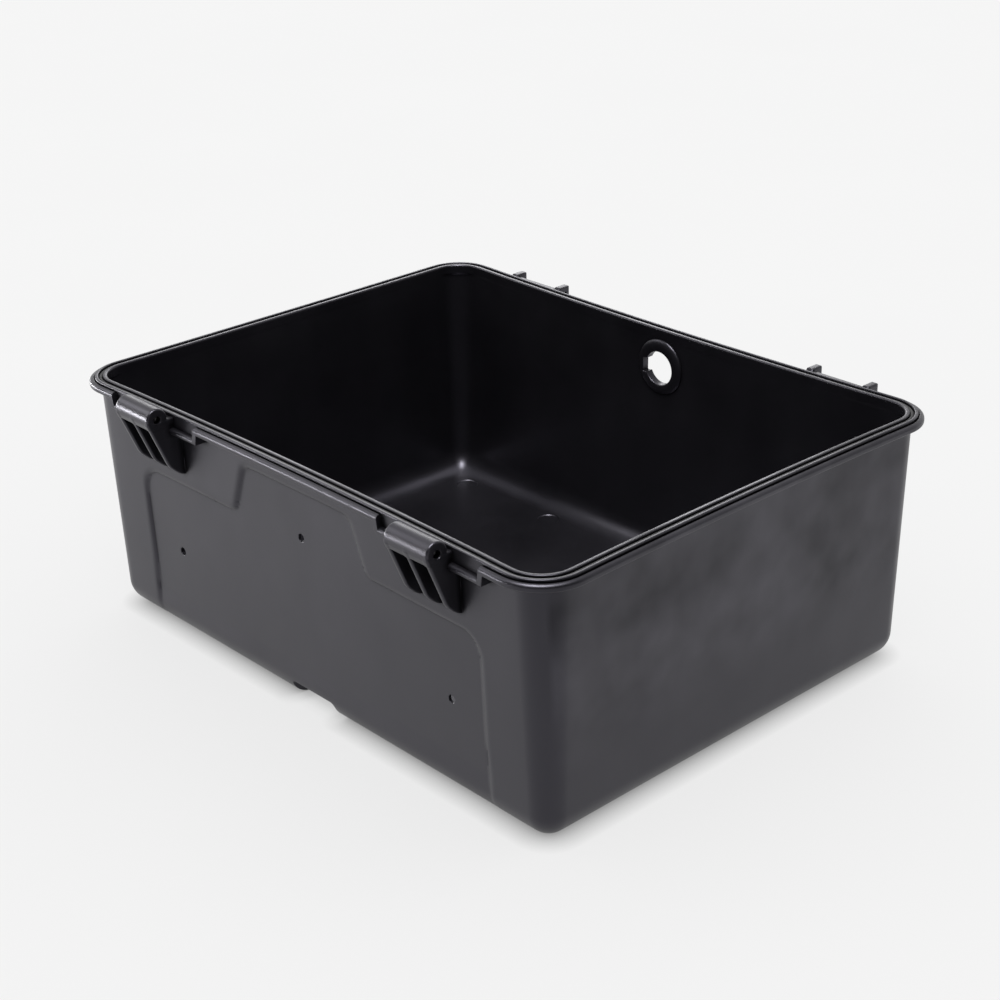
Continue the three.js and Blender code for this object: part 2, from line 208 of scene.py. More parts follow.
def polygon_distance(polygon, u, v):
    """Signed distance to a closed polygon, negative inside."""
    polygon = np.asarray(polygon, float)
    nearest, inside = np.inf, False
    for start, end in zip(polygon, np.roll(polygon, -1, axis=0)):
        edge_u, edge_v = end - start
        du, dv = u - start[0], v - start[1]
        t = np.clip((du * edge_u + dv * edge_v) / (edge_u * edge_u + edge_v * edge_v), 0.0, 1.0)
        nearest = np.minimum(nearest, (du - edge_u * t) ** 2 + (dv - edge_v * t) ** 2)
        if edge_v != 0:
            spans = (start[1] > v) != (end[1] > v)
            inside = inside ^ (spans & (u < edge_u * dv / edge_v + start[0]))
    return np.where(inside, -1.0, 1.0) * np.sqrt(nearest)


def net_points(values, inside, grids, step):
    """One point per grid cell the surface crosses, at the mean of its edge crossings."""
    shape = values.shape
    cells = tuple(size - 1 for size in shape)
    total = np.zeros(cells + (3,))
    count = np.zeros(cells)
    crossings = []
    for axis in range(3):
        first, second = [slice(None)] * 3, [slice(None)] * 3
        first[axis], second[axis] = slice(0, -1), slice(1, None)
        first, second = tuple(first), tuple(second)
        start, end = values[first], values[second]
        cross = inside[first] != inside[second]
        with np.errstate(divide="ignore", invalid="ignore"):
            t = np.where(cross, start / (start - end), 0.0)
        crossings.append((cross, inside[first]))
        place = [np.broadcast_to(grid, shape)[first] for grid in grids]
        place[axis] = place[axis] + t * step
        others = [i for i in range(3) if i != axis]
        for shift in ((0, 0), (0, 1), (1, 0), (1, 1)):
            window = [slice(None)] * 3
            for other, offset in zip(others, shift):
                window[other] = slice(offset, shape[other] - 1 + offset)
            window = tuple(window)
            hit = cross[window]
            count += hit
            for i in range(3):
                total[..., i] += np.where(hit, place[i][window], 0.0)
    used = count > 0
    index = -np.ones(cells, int)
    index[used] = np.arange(used.sum())
    return total[used] / count[used][:, None], index, crossings


def net_faces(shape, index, crossings):
    """One outward quad round each crossed grid edge."""
    faces = []
    for (cross, starts_inside), (u, v) in zip(crossings, [(1, 2), (2, 0), (0, 1)]):
        edges = np.stack(np.nonzero(cross), 1)
        inner = (edges[:, u] > 0) & (edges[:, u] < shape[u] - 1)
        inner &= (edges[:, v] > 0) & (edges[:, v] < shape[v] - 1)
        edges = edges[inner]
        leaving = starts_inside[tuple(edges.T)]
        quad = []
        for shift_u, shift_v in ((-1, -1), (0, -1), (0, 0), (-1, 0)):
            cell = edges.copy()
            cell[:, u] += shift_u
            cell[:, v] += shift_v
            quad.append(index[tuple(cell.T)])
        quad = np.stack(quad, 1)
        quad[~leaving] = quad[~leaving][:, ::-1]
        faces.append(quad)
    return np.vstack(faces).tolist()


def pull_onto(field, start, step):
    """Moves points onto the surface by damped Newton steps, staying near their cells."""
    probe, passes = 0.02, 3
    steepness_floor = 0.05             # keeps the move finite where the field is flat
    pass_limit, total_limit = 0.3 * step, 0.45 * step
    points = start.copy()
    for _ in range(passes):
        x, y, z = points.T
        value = field(x, y, z)
        slope = np.stack([field(x + probe, y, z) - field(x - probe, y, z),
                          field(x, y + probe, z) - field(x, y - probe, z),
                          field(x, y, z + probe) - field(x, y, z - probe)], 1) / (2 * probe)
        steepness = np.maximum((slope * slope).sum(1), steepness_floor)
        move = -(value / steepness)[:, None] * slope
        size = np.linalg.norm(move, axis=1)
        move *= np.minimum(1.0, pass_limit / np.maximum(size, 1e-9))[:, None]
        points = start + np.clip(points + move - start, -total_limit, total_limit)
    return points


def surface(field, low, high, step):
    """Closed quad mesh of the surface field = 0 inside a box, by surface nets."""
    grids = np.ix_(*[np.arange(low[i], high[i] + step * 0.5, step) for i in range(3)])
    shape = tuple(grid.size for grid in grids)
    values = np.broadcast_to(field(*grids), shape)
    values = np.where(np.abs(values) < 1e-7, 1e-7, values)
    points, index, crossings = net_points(values, values < 0, grids, step)
    return pull_onto(field, points, step), net_faces(shape, index, crossings)


# ------------------------------------------------------------ wall shape
def side_shape(u):
    """1 - u*u with a soft run-out into the corners."""
    bend = 0.85
    height, slope = 0.2775, 0.255      # of the parabola at the bend
    u = np.abs(u)
    t = np.clip((u - bend) / 0.15, 0.0, 1.0)
    end = height * (2 * t**3 - 3 * t**2 + 1) - slope * (t**3 - 2 * t**2 + t)
    return np.where(u < bend, 1.0 - u * u, end)


def wall_size(z):
    """Half length, half width, corner radius and bow share of the outer wall at a height."""
    share = z / RIM_Z
    return (between(FOOT_HALF_L, TOP_HALF_L, share), between(FOOT_HALF_W, TOP_HALF_W, share),
            between(FOOT_R, TOP_R, share), BOW_LOW + (1 - BOW_LOW) * share)


def wall_reach(side, x, z):
    """Distance in y from the centre to the wall's outer face, without the panel."""
    half_length, half_width, radius, bow = wall_size(z)
    run = half_length - radius
    return half_width - BOW[side] * bow * side_shape(np.clip(x / run, -1, 1))


def rolled_front_y(z):
    """Outer face of the rolled front edge at mid-length."""
    drop = np.clip(1 - z / EDGE_R, 0.0, 1.0)
    roll = EDGE_R * (1 - np.sqrt(1 - drop * drop))
    _, half_width, _, bow = wall_size(z)
    return -(half_width - roll) + BOW["front"] * bow


# ------------------------------------------------------------ tub: columns and rings
def front_columns():
    """x of the front columns, packed closely where the flange steps down by a knuckle."""
    even = np.arange(-STRAIGHT_HALF, STRAIGHT_HALF, 1.85)
    keep = np.ones(len(even), bool)
    fine = []
    for centre in (-KNUCKLE_X, KNUCKLE_X):
        for side in (-1, 1):
            fine.append(centre + side * np.arange(48.9, 56.3, 0.2))
            fine.append(centre + side * np.array([47.2, 48.1, 57.0, 58.0]))
            keep &= np.abs(even - (centre + side * 52.6)) > 6.0
    columns = np.sort(np.concatenate([even[keep]] + fine))
    distinct = np.diff(columns) > 0.05
    return columns[np.concatenate([[True], distinct])]


FRONT = front_columns()
SIDE_U = np.linspace(-1, 1, 77)[:-1]
BACK_U = np.linspace(-1, 1, 97)[:-1]
CORNER = np.radians(np.linspace(0, 90, 19)[:-1])
FRONT_COUNT = len(FRONT)


def column_spans():
    """Slices of the columns: front, corner, right, corner, back, corner, left, corner."""
    spans, at = [], 0
    for side in (FRONT, SIDE_U, BACK_U, SIDE_U):
        for part in (side, CORNER):
            spans.append(slice(at, at + len(part)))
            at += len(part)
    return spans, at


SPANS, COLUMNS = column_spans()


def per_column(value):
    return np.broadcast_to(np.asarray(value, float), (COLUMNS,))


def ring(half_length, half_width, radius, bow):
    """Rounded rectangle with bowed sides, a point per column, counter-clockwise from above."""
    half_length, half_width = per_column(half_length), per_column(half_width)
    radius, bow = per_column(radius), per_column(bow)
    run_x, run_y = half_length - radius, half_width - radius
    x, y = np.empty(COLUMNS), np.empty(COLUMNS)
    front, _, right, _, back, _, left, _ = SPANS

    run = run_x[front]
    size = np.abs(FRONT)
    stretched = HOLD_X + (size - HOLD_X) * (run - HOLD_X) / (STRAIGHT_HALF - HOLD_X)
    x[front] = np.where(size <= HOLD_X, size, stretched) * np.sign(FRONT)
    y[front] = -half_width[front] + BOW["front"] * bow[front] * side_shape(x[front] / run)
    x[right] = half_length[right] - BOW["right"] * bow[right] * side_shape(SIDE_U)
    y[right] = SIDE_U * run_y[right]
    x[back] = -BACK_U * run_x[back]
    y[back] = half_width[back] - BOW["back"] * bow[back] * side_shape(BACK_U)
    x[left] = -half_length[left] + BOW["left"] * bow[left] * side_shape(SIDE_U)
    y[left] = -SIDE_U * run_y[left]
    corners = ((1, -1, -90), (1, 1, 0), (-1, 1, 90), (-1, -1, 180))
    for span, (side_x, side_y, start) in zip(SPANS[1::2], corners):
        turn = CORNER + math.radians(start)
        x[span] = side_x * run_x[span] + radius[span] * np.cos(turn)
        y[span] = side_y * run_y[span] + radius[span] * np.sin(turn)
    return x, y


def wall_row(z, skin=0.0, roll=0.0):
    """Ring of the tapered wall, set in by a skin thickness and an edge roll."""
    z = per_column(z)
    half_length, half_width, radius, bow = wall_size(z)
    radius = np.maximum(radius - skin - roll, 3.0)
    x, y = ring(half_length - skin - roll, half_width - skin - roll, radius, bow)
    return np.stack([x, y, z], 1)


def mouth_row(offset, z):
    """Ring at an outward offset from the mouth."""
    x, y = ring(INNER_L / 2 + offset, INNER_W / 2 + offset, MOUTH_R + offset, 1.0)
    return np.stack([x, y, per_column(z)], 1)


def round_rows(offset, z, out, up, count, level_first=False):
    """Mouth rings round an edge where an upright face meets a level one.

    out and up are signed radii from the sharp edge (offset, z) towards the two faces.
    """
    rows = []
    for t in quarter(count):
        across, rise = 1 - math.cos(t), 1 - math.sin(t)
        if level_first:
            across, rise = rise, across
        rows.append(mouth_row(offset + out * across, z + up * rise))
    return rows


# ------------------------------------------------------------ tub: set-back front panel
def curve(start, pull, end):
    """Quadratic curve through seven points."""
    start, pull, end = np.array(start), np.array(pull), np.array(end)
    return [tuple((1 - t) ** 2 * start + 2 * t * (1 - t) * pull + t * t * end)
            for t in np.linspace(0, 1, 7)]


def panel_outline():
    """The panel's outline in (x, z), right half mirrored to the left."""
    half = [(196.2, -60.0), (196.0, 6.0), (192.8, 60.0), (192.3, 119.5)]
    half += [(174.3 + 18 * math.cos(t), 119.5 + 18 * math.sin(t)) for t in quarter(13)[1:]]
    half += curve((82.5, 137.5), (75.8, 137.5), (73.6, 143.2))
    half += curve((62.6, 172.0), (60.2, 179.0), (53.0, 179.0))
    return half + [(-x, z) for x, z in reversed(half)]


PANEL = panel_outline()


def panel_depth(x, z):
    """Set-back of the panel: rounded over at the raised side, crisp at the panel."""
    edge_inset, edge_width = 0.4, 5.4
    fade = np.clip((z - 2.0) / 30.0, 0.0, 1.0)         # none at the foot
    q = np.clip((polygon_distance(PANEL, x, z) + edge_inset) / edge_width, 0.0, 1.0)
    return PANEL_DEPTH * fade * (1 - np.sqrt(np.clip(1 - (1 - q) ** 2, 0.0, 1.0)))


# ------------------------------------------------------------ tub: flange levels
def knuckle_drop(depth, start, run):
    """Drop per column that boxes the front flange down round each knuckle."""
    away = np.abs(np.abs(FRONT) - KNUCKLE_X)
    drop = np.zeros(COLUMNS)
    drop[:FRONT_COUNT] = depth * (1 - smoothstep((away - start) / run))
    return drop


TOP_DROP = knuckle_drop(FLANGE_TOP - SHELF_TOP, start=49.7, run=1.6)
LOW_DROP = knuckle_drop(FLANGE_TOP - FLANGE_T - SHELF_BOTTOM, start=53.6, run=1.7)
Z_TOP = FLANGE_TOP - TOP_DROP
Z_LOW = FLANGE_TOP - FLANGE_T - LOW_DROP
# the rounded lip fades out before the flange has dropped half way
LIP = LIP_H * np.clip(1 - 2.5 * TOP_DROP / (FLANGE_TOP - SHELF_TOP), 0.0, 1.0)


# ------------------------------------------------------------ tub: swept body
def outer_rows():
    """Underside, rolled bottom edge and outer wall with its panel."""
    rows = [wall_row(0.0, roll=EDGE_R + inset) for inset in (5.0, 2.5, 0.9)]
    rows += [wall_row(EDGE_R * (1 - math.cos(t)), roll=EDGE_R * (1 - math.sin(t)))
             for t in quarter(15)]
    shares = [k / 80.0 for k in range(1, 81)]
    for low, high in ((0.680, 0.750), (0.924, 0.955)):  # closer rows at the panel's level edges
        shares = [q for q in shares if not low - 0.004 < q < high + 0.004]
        shares += list(np.arange(low, high, 0.0027))
    top = Z_LOW - FLANGE_FILLET
    rows += [wall_row(between(EDGE_R, top, q)) for q in sorted(shares)]
    for row in rows:
        x, y, z = row[:FRONT_COUNT].T
        row[:FRONT_COUNT, 1] = y + panel_depth(x, z)
    return rows


def flange_rows(foot):
    """Hollow fillet under the flange, its underside, edge and rounded lip."""
    rows = []
    lip = mouth_row(FLANGE_OUT - FLANGE_EDGE, Z_LOW)
    out = lip[:, :2] - foot[:, :2]
    reach = np.linalg.norm(out, axis=1)[:, None]
    out = out / reach
    for t in quarter(6)[1:]:
        row = foot.copy()
        row[:, :2] += out * FLANGE_FILLET * (1 - math.cos(t))
        row[:, 2] = Z_LOW - FLANGE_FILLET + FLANGE_FILLET * math.sin(t)
        rows.append(row)
    for q in (0.35, 0.7):
        row = lip.copy()
        row[:, :2] = foot[:, :2] + out * (FLANGE_FILLET + (reach - FLANGE_FILLET) * q)
        rows.append(row)
    rows += round_rows(FLANGE_OUT, Z_LOW, -FLANGE_EDGE, FLANGE_EDGE, 6, level_first=True)
    rows.append(mouth_row(FLANGE_OUT, (Z_LOW + FLANGE_EDGE + Z_TOP - LIP_START) / 2))
    rows += [mouth_row(FLANGE_OUT - LIP_RUN * (1 - math.cos(t)),
                       Z_TOP - LIP_START + (LIP_START + LIP) * math.sin(t))
             for t in quarter(10)]
    return rows


# inner side of the lip: offset from the mouth, height as a share of the lip
LIP_BACK = ((10.62, 0.93), (10.5, 0.72), (10.42, 0.35), (10.34, -0.5), (10.2, -0.75),
            (9.9, -0.8), (9.72, -0.72))


def rim_rows():
    """Inner side of the lip, outer ridge, seal groove and inner ridge."""
    outer_r, groove_r, floor_r, ridge_r, mouth_r = 0.95, 0.9, 0.22, 1.0, 1.35   # edge radii
    groove_mid_z = 197.6
    rows = [mouth_row(offset, Z_TOP + LIP * share) for offset, share in LIP_BACK]
    base = Z_TOP - 0.55 * LIP
    for q in (0.0, 0.3, 0.6, 0.85):
        rows.append(mouth_row(RIDGE_2, base + (RIM_Z - outer_r - base) * q))
    rows += round_rows(RIDGE_2, RIM_Z, -outer_r, -outer_r, 8)
    rows += round_rows(GROOVE_OUT, RIM_Z, groove_r, -groove_r, 6, level_first=True)
    rows.append(mouth_row(GROOVE_OUT, groove_mid_z))
    rows += round_rows(GROOVE_OUT, GROOVE_FLOOR, -floor_r, floor_r, 3)
    rows += round_rows(RIDGE_1, GROOVE_FLOOR, floor_r, floor_r, 3, level_first=True)
    rows.append(mouth_row(RIDGE_1, groove_mid_z))
    rows += round_rows(RIDGE_1, RIM_Z, -ridge_r, -ridge_r, 6)
    rows += round_rows(0.0, RIM_Z, mouth_r, -mouth_r, 7, level_first=True)
    return rows


def inner_rows():
    """Mouth, soft bevel into the wall, inner wall, rolled floor edge and floor."""
    rows = [mouth_row(0.0, z) for z in (197.4, 195.8, 194.2)]
    bevel_top, bevel_foot = 193.2, 190.4
    above, below = mouth_row(0.0, bevel_top), wall_row(191.0, skin=WALL)
    for q in np.linspace(0, 1, 7):
        ease = smoothstep(q)
        row = above * (1 - ease) + below * ease
        row[:, 2] = between(bevel_top, bevel_foot, q)
        rows.append(row)
    for z in np.linspace(188.0, WALL + INNER_EDGE_R + 3, 34):
        rows.append(wall_row(z, skin=WALL))
    for t in np.linspace(math.pi / 2, 0, 15):
        rows.append(wall_row(WALL + INNER_EDGE_R * (1 - math.cos(t)), skin=WALL,
                             roll=INNER_EDGE_R * (1 - math.sin(t))))
    rows += [wall_row(WALL, skin=WALL, roll=INNER_EDGE_R + inset) for inset in (0.9, 2.5, 5.0)]
    return rows


def tub_body():
    outer = outer_rows()
    return closed_loft(outer + flange_rows(outer[-1]) + rim_rows() + inner_rows())


# ------------------------------------------------------------ knuckles and ears
# Side outlines in (y, z)
BARREL_UNDER = [(BARREL_FRONT + 0.35, BARREL_Z - 1.0), (BARREL_FRONT + 0.45, BARREL_Z - 3.1)]
RIB = BARREL_UNDER + [
    (-203.9, RIB_FOOT_Z + 11.3), (-202, RIB_FOOT_Z + 8.3), (-198.3, RIB_FOOT_Z + 4.7),
    (-195.6, RIB_FOOT_Z + 2.5), (-193.2, RIB_FOOT_Z + 1), (-190.6, RIB_FOOT_Z + 0.1),
    (-188.6, RIB_FOOT_Z), (-180, RIB_FOOT_Z), (-180, 189), (-195.5, 189),
    (-195.5, FLANGE_TOP - 0.2), (BARREL_Y, FLANGE_TOP - 0.2)]
WEB = BARREL_UNDER + [
    (BARREL_FRONT + 1.9, WEB_Z), (-195.5, WEB_Z),
    (-195.5, FLANGE_TOP - 0.2), (BARREL_Y, FLANGE_TOP - 0.2)]
CHEEK = [
    (180, 156), (189.6, 156), (194.5, 159), (EAR_REACH_Y - 1.4, 182), (EAR_REACH_Y, 186),
    (EAR_REACH_Y, EAR_TOP - 0.6), (EAR_REACH_Y - 0.6, EAR_TOP), (203.9, EAR_TOP),
    (202.2, FLANGE_TOP - 1.4), (197.6, FLANGE_TOP - 1.4), (197.6, 193.4), (180, 193.4)]


def knuckle(x, y, z):
    """Right knuckle: a bored barrel on a web and three ribs, run into the front wall."""
    away = np.abs(x - KNUCKLE_X)
    pitch = KNUCKLE_HALF - RIB_T / 2
    nearest_rib = np.minimum(away, np.abs(away - pitch))
    body = soft_overlap(polygon_distance(RIB, y, z), nearest_rib - RIB_T / 2, blend=1.7)
    web = soft_overlap(polygon_distance(WEB, y, z), away - KNUCKLE_HALF, blend=1.5)
    body = soft_union(body, web, blend=1.3)
    radius = np.sqrt((y - BARREL_Y) ** 2 + (z - BARREL_Z) ** 2)
    barrel = soft_overlap(radius - (BARREL_R - 0.03), away - KNUCKLE_HALF, blend=1.8)
    body = soft_union(body, barrel, blend=0.2)
    # a patch just inside the wall's face gives the ribs fillets; the trim leaves it 2 mm deep
    face = -wall_reach("front", x, z)
    patch = overlap(face - y + 0.12, z - 188.8, 143.5 - z, away - 28.5)
    body = soft_union(body, patch, blend=0.25)
    body = overlap(body, y - face - 2.0, away - 28.0, 143.0 - z)
    return soft_overlap(body, -(radius - BORE_R), blend=0.5)


def ears(x, y, z):
    """Right pair of ears: two bored cheeks with a seat between, run into the back wall."""
    away = np.abs(x - EAR_X)
    cheeks = np.abs(away - (EAR_OUT - EAR_T / 2)) - EAR_T / 2
    body = soft_overlap(polygon_distance(CHEEK, y, z), cheeks, blend=1.5)
    seat = overlap(184.0 - z, z - (FLANGE_TOP - 1.2), 197.2 - y, y - 206.5)
    under_seat = overlap(184.0 - z, z - 190.0, 184.0 - y, y - 206.0)
    seat = soft_overlap(np.minimum(seat, under_seat), away - (EAR_OUT - 1), blend=0.8)
    body = soft_union(body, seat, blend=1.2)
    # the same kind of wall patch and trim as on the knuckle
    face = wall_reach("back", x, z)
    patch = overlap(y - face + 0.12, z - 188.8, 152.0 - z, away - 36.5)
    body = soft_union(body, patch, blend=4.0)
    body = overlap(body, face - 2.0 - y, away - 36.0, 151.5 - z)
    bore = np.sqrt((y - EAR_BORE_Y) ** 2 + (z - EAR_BORE_Z) ** 2) - EAR_BORE_R
    return soft_overlap(body, -bore, blend=0.5)


# ------------------------------------------------------------ notch, port, holes, floor marks
def notch_skin(x, y, z):
    """Inner lining of the notch in the front bottom edge."""
    body = soft_overlap(np.abs(x) - (NOTCH_HALF + NOTCH_SKIN), y + NOTCH_Y - NOTCH_SKIN, blend=5.0)
    body = soft_overlap(body, z - (NOTCH_TOP + NOTCH_SKIN), blend=4.0)
    return overlap(body, rolled_front_y(z) + 1.3 - y, 1.3 - z)


def notch_cut(x, y, z):
    body = soft_overlap(np.abs(x) - NOTCH_HALF, y + NOTCH_Y, blend=3.5)
    body = soft_overlap(body, z - NOTCH_TOP, blend=5.0)
    return overlap(body, -2.2 - z, -196.0 - y)


PORT_FACE = float(wall_reach("back", 0.0, PORT_Z)) - WALL       # inner face of the back wall
BOSS_FACE = PORT_FACE - BOSS_H


def port_section(y, grow):
    """Keyed round opening: a circle with a tongue towards -X, run clockwise in (x, z)."""
    radius, half = PORT_R + grow, KEY_HALF + grow
    gap = math.asin(half / radius)
    outline = [(radius * math.cos(t), PORT_Z + radius * math.sin(t))
               for t in np.linspace(-math.pi + gap, math.pi - gap, 72)]
    left, top, bottom = -(KEY_REACH + grow), KEY_Z + half, KEY_Z - half
    outline += [(left + 0.8, top), (left + 0.2, top - 0.3), (left, top - 1.0),
                (left, bottom + 1.0), (left + 0.2, bottom + 0.3), (left + 0.8, bottom)]
    return np.array([(PORT_X + x, y, z) for x, z in reversed(outline)])


def port_cut():
    """Port cutter, flared where it meets the boss face."""
    stations = ((BOSS_FACE - 12, 0.7), (BOSS_FACE - 0.05, 0.7), (BOSS_FACE + 0.12, 0.38),
                (BOSS_FACE + 0.4, 0.12), (BOSS_FACE + 0.8, 0.0), (PORT_FACE + WALL + 20, 0.0))
    return outward(closed_loft([port_section(y, grow) for y, grow in stations]))


def port_boss():
    """Low round boss on the inner face of the back wall."""
    profile = [(BOSS_FACE, 3.0), (BOSS_FACE, 12.0)]
    profile += [(BOSS_FACE + BOSS_H * (1 - math.cos(t)),
                 BOSS_R - BOSS_ROUND + BOSS_ROUND * math.sin(t)) for t in quarter(16)]
    profile += [(PORT_FACE + 1.9, BOSS_R)]
    return lathe(profile, "y", (PORT_X, 0, BOSS_Z), 120)


# depth from the panel face, growth of the hole's radius
HOLE_PROFILE = ((-12, 0.5), (-0.06, 0.5), (0.14, 0.24), (0.45, 0.05), (0.8, 0.0), (14, 0.0))
# height above the floor's datum, radius
FLOOR_MARK = [(WALL - 0.75, 8.5), (WALL - 0.73, 9.0), (WALL - 0.6, 9.25), (WALL + 0.06, 9.9),
              (WALL + 3, 9.9)]
UNDER_DISH = [(-2.0, 9.0), (-0.02, 9.0), (0.35, 8.7), (0.8, 6.8), (0.9, 5.0)]


def hole_cut(x, z):
    face = -float(wall_reach("front", x, z)) + PANEL_DEPTH
    profile = [(face + depth, HOLE_R + grow) for depth, grow in HOLE_PROFILE]
    return lathe(profile, "y", (x, 0, z), 48)


def cutting_parts():
    parts = [surface(notch_cut, (-28.1, -197.2, -3.6), (28.1, -164.9, 16.6), NOTCH_GRID),
             port_cut()]
    parts += [hole_cut(x, z) for x, z in HOLES]
    parts += [lathe(FLOOR_MARK, "z", (x, y, 0), 72) for x in FLOOR_MARK_X for y in FLOOR_MARK_Y]
    parts.append(lathe(UNDER_DISH, "z", (0, 0, 0), 72))
    return parts


def added_parts():
    right_knuckle = surface(knuckle, (KNUCKLE_X - 29.5, -220.6, 140.3),
                            (KNUCKLE_X + 29.5, -185.9, 209.3), HINGE_GRID)
    right_ears = surface(ears, (EAR_X - 37.6, 181.3, 149.8),
                         (EAR_X + 37.6, 217.2, 200.4), EAR_GRID)
    lining = surface(notch_skin, (-30.6, -186.9, 0.2), (30.6, -162.4, 19.6), NOTCH_GRID)
    return [right_knuckle, mirrored_x(right_knuckle), right_ears, mirrored_x(right_ears),
            port_boss(), lining]


# ------------------------------------------------------------ tub: assembly
def boolean(target, tool, operation):
    """Applies a boolean to the target and removes the tool."""
    modifier = target.modifiers.new("bool", "BOOLEAN")
    modifier.object = tool
    modifier.operation = operation
    modifier.solver = "MANIFOLD"
    graph = bpy.context.evaluated_depsgraph_get()
    mesh = bpy.data.meshes.new_from_object(target.evaluated_get(graph))
    target.modifiers.clear()
    old = target.data
    target.data = mesh
    bpy.data.meshes.remove(old)
    bpy.data.objects.remove(tool)


def fill_voids(obj):
    """Drops the closed pockets left behind the ears' seats, keeping only the outer skin."""
    work = bmesh.new()
    work.from_mesh(obj.data)
    left, skins = set(work.verts), []
    while left:
        seed = left.pop()
        skin, waiting = {seed}, [seed]
        while waiting:
            for edge in waiting.pop().link_edges:
                for vert in edge.verts:
                    if vert not in skin:
                        skin.add(vert)
                        waiting.append(vert)
        left -= skin
        skins.append(skin)
    skins.sort(key=len)
    for skin in skins[:-1]:
        bmesh.ops.delete(work, geom=list(skin), context="VERTS")
    work.to_mesh(obj.data)
    work.free()


def build_tub():
    obj = mesh_from("tub_body", *tub_body())
    adders = merge("adders", added_parts())
    cutters = merge("cutters", cutting_parts())
    boolean(obj, adders, "UNION")
    boolean(obj, cutters, "DIFFERENCE")
    fill_voids(obj)
    smooth_shade(obj)
    return obj


# ------------------------------------------------------------ rim seal and hinge pins
def build_seal():
    """Cord in the groove with a crowned top."""
    inner, outer = RIDGE_1 + SEAL_GAP, GROOVE_OUT - SEAL_GAP
    middle, half = (inner + outer) / 2, (outer - inner) / 2
    side = ((0.25, 196.35), (0.07, 196.42), (0.0, 196.6), (0.0, 197.3))   # inset, z
    profile = [(outer - inset, z) for inset, z in side]
    profile += [(middle + half * math.cos(t), SEAL_TOP - SEAL_CROWN + SEAL_CROWN * math.sin(t))
                for t in np.linspace(0, math.pi, 15)]
    profile += [(inner + inset, z) for inset, z in reversed(side)]
    points = np.vstack([mouth_row(offset, z) for offset, z in profile])
    obj = mesh_from("seal_cord", points, ring_quads(len(profile), COLUMNS, closed=True))
    smooth_shade(obj, angle=50)
    return obj


# shallow turned ring near each end of a pin: place along, depth
PIN_GROOVE = ((-0.6, 0.0), (-0.4, 0.12), (-0.15, 0.2), (0.15, 0.2), (0.4, 0.12), (0.6, 0.0))


def build_pin(name, side):
    """Pin with dished, rounded ends. side is -1 for left (-X), 1 for right."""
    end = [(-PIN_HALF + 0.55, 0.15), (-PIN_HALF + 0.1, 0.75), (-PIN_HALF, 0.95),
           (-PIN_HALF, 1.75)]
    end += [(-PIN_HALF + PIN_EDGE - PIN_EDGE * math.cos(t),
             PIN_R - PIN_EDGE + PIN_EDGE * math.sin(t))
            for t in np.linspace(0.15, math.pi / 2, 7)]
    end += [(-PIN_GROOVE_X + place, PIN_R - depth) for place, depth in PIN_GROOVE]
    profile = end + [(place, PIN_R) for place in np.linspace(-12, 12, 9)]
    profile += [(-place, radius) for place, radius in reversed(end)]
    obj = mesh_from(name, *lathe(profile, "x", (side * KNUCKLE_X, BARREL_Y, BARREL_Z)))
    smooth_shade(obj, angle=28)
    return obj


tub = build_tub()
seal = build_seal()
pins = {"left": build_pin("pin_left", -1), "right": build_pin("pin_right", 1)}


# ------------------------------------------------------------ shader helpers
class Nodes:
    """Short-hand for building a node tree. Each method returns the new output socket."""

    def __init__(self, tree):
        self.tree = tree
        self.coords = None

    def plug(self, node, inputs):
        """Links sockets and sets plain values."""
        for key, value in inputs.items():
            if isinstance(value, bpy.types.NodeSocket):
                self.tree.links.new(value, node.inputs[key])
            else:
                node.inputs[key].default_value = value

    def add(self, kind, inputs=(), **settings):
        """Adds a node and returns the node itself."""
        node = self.tree.nodes.new("ShaderNode" + kind)
        for key, value in settings.items():
            setattr(node, key, value)
        self.plug(node, dict(inputs))
        return node

    def noise(self, scale, detail=2.0, rough=0.5, stretch=None):
        coords = self.coords
        if stretch:
            coords = self.add("Mapping", {"Scale": stretch, 0: coords}).outputs[0]
        return self.add("TexNoise", {"Scale": scale, "Detail": detail, "Roughness": rough,
                                     "Vector": coords}).outputs["Fac"]

    def remap(self, value, to, span=(0.3, 0.7), **settings):
        return self.add("MapRange", {"From Min": span[0], "From Max": span[1], "To Min": to[0],
                                     "To Max": to[1], "Value": value},
                        **settings).outputs["Result"]

    def math(self, operation, first, second):
        return self.add("Math", {0: first, 1: second}, operation=operation).outputs[0]

    def mix(self, factor, first, second):
        """Colour mix. Sockets 6 and 7 in and 2 out are the colour ones."""
        colors = [v + (1.0,) if isinstance(v, tuple) else v for v in (first, second)]
        return self.add("Mix", {0: factor, 6: colors[0], 7: colors[1]},
                        data_type="RGBA").outputs[2]

    def bump(self, height, distance, normal=None):
        inputs = {"Strength": 1.0, "Distance": distance, "Height": height}
        if normal is not None:
            inputs["Normal"] = normal
        return self.add("Bump", inputs).outputs[0]

    def occlusion(self, samples, distance):
        return self.add("AmbientOcclusion", {"Distance": distance},
                        samples=samples).outputs["AO"]


def new_material(name, kind="BsdfPrincipled"):
    """Material with one surface shader, on object coordinates."""
    mat = bpy.data.materials.new(name)
    mat.use_nodes = True
    nodes = Nodes(mat.node_tree)
    nodes.tree.nodes.clear()
    output = nodes.add("OutputMaterial")
    shader = nodes.add(kind)
    nodes.plug(output, {0: shader.outputs[0]})
    nodes.coords = nodes.add("TexCoord").outputs["Object"]
    return mat, nodes, shader


